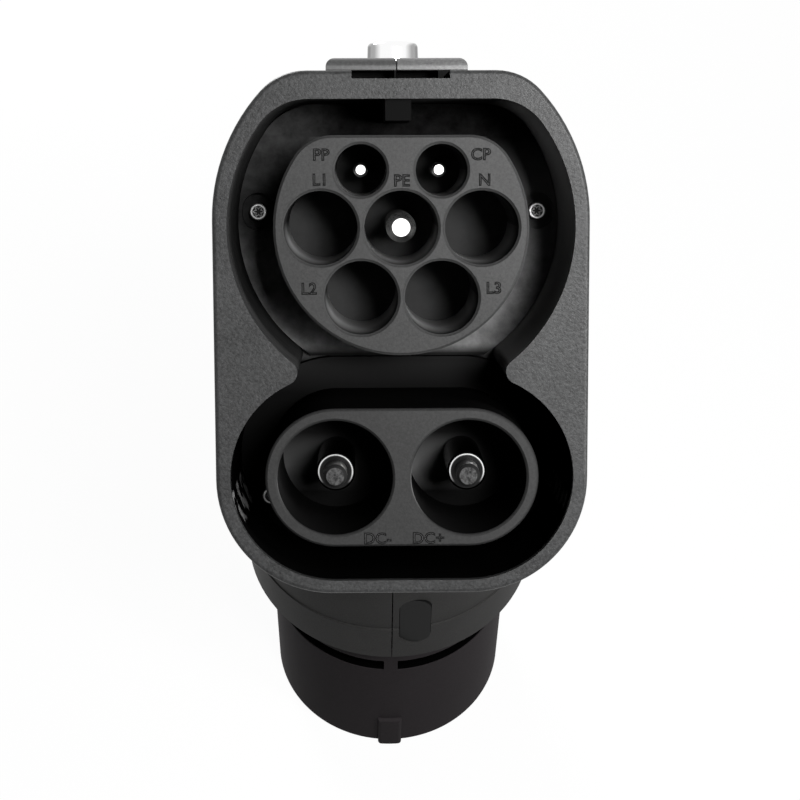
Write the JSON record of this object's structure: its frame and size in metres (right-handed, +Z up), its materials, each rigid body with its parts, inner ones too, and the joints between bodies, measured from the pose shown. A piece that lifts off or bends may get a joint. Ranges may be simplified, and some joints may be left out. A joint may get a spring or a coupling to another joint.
{
  "type": "electric vehicle charging adapter",
  "caption": "Bent hand-held adapter with a combined charging inlet, a round latching plug and a push button on top.",
  "frame": {"origin": "centre of the plug's rim, on the surface that the adapter stands on", "axes": "+Z up along the plug's axis, the inlet faces -Y and up, +X to the right of someone facing the inlet"},
  "size_m": [0.0834, 0.1515, 0.2757],
  "materials": {
    "housing_black": "satin",
    "insert_grey": "matte",
    "shell_black": "satin",
    "inner_plastic": "matte",
    "plated_contact": "polished",
    "insulating_tip": "satin",
    "button_metal": "polished",
    "steel": "satin",
    "seal_rubber": "matte",
    "board_green": "satin",
    "bar_copper": "satin",
    "cell_sleeve": "satin"
  },
  "bodies": {
    "body": {"inlet_housing": "housing_black", "ac_insert": "insert_grey", "dc_insert": "insert_grey", "earth_pin": "plated_contact", "proximity_pin": "plated_contact", "pilot_pin": "plated_contact", "dc_pin_minus": "plated_contact", "dc_pin_tip_minus": "insulating_tip", "dc_pin_plus": "plated_contact", "dc_pin_tip_plus": "insulating_tip", "inlet_screws": "steel", "body_seal": "seal_rubber", "left_shell": "shell_black", "right_shell": "shell_black", "shell_screws": "steel", "button_spring": "steel", "plug_barrel": "shell_black", "plug_core": "inner_plastic", "power_socket_minus": "plated_contact", "power_socket_plus": "plated_contact", "signal_sockets": "plated_contact", "latch_pin": "steel", "latch_spring": "steel", "power_bar_minus": "bar_copper", "power_bar_plus": "bar_copper", "converter_board": "board_green", "board_components": "inner_plastic", "battery_tray": "inner_plastic", "battery_cells": "cell_sleeve", "service_connector": "steel", "port_board": "board_green"},
    "release_button": {"release_button": "button_metal", "button_clip": "steel"},
    "push_rod": {"push_rod": "steel"},
    "latch_lever": {"latch_lever": "inner_plastic"},
    "port_plug": {"port_plug": "seal_rubber"}
  },
  "joints": [
    {"name": "button_press", "type": "slide", "parent": "body", "child": "release_button", "axis": [0, -0.7071, -0.7071], "range_m": [0, 0.0025], "stiffness_N_per_m": 400, "springref_m": -0.002, "deforming": ["button_spring"]},
    {"name": "rod_slide", "type": "slide", "parent": "body", "child": "push_rod", "axis": [0, 0, -1], "range_m": [0, 0.00177]},
    {"name": "latch_swing", "type": "hinge", "parent": "body", "child": "latch_lever", "pos_m": [0, 0.012, 0.058], "axis": [-1, 0, 0], "range_deg": [0, 8.44], "deforming": ["latch_spring"]},
    {"name": "port_pull", "type": "slide", "parent": "body", "child": "port_plug", "axis": [0, -1, 0], "range_m": [0, 0.006]}
  ],
  "couplings": [
    {"joint": "rod_slide", "follows": "button_press", "ratio": 0.70711},
    {"joint": "latch_swing", "follows": "button_press", "rad_per_m": 58.926}
  ]
}
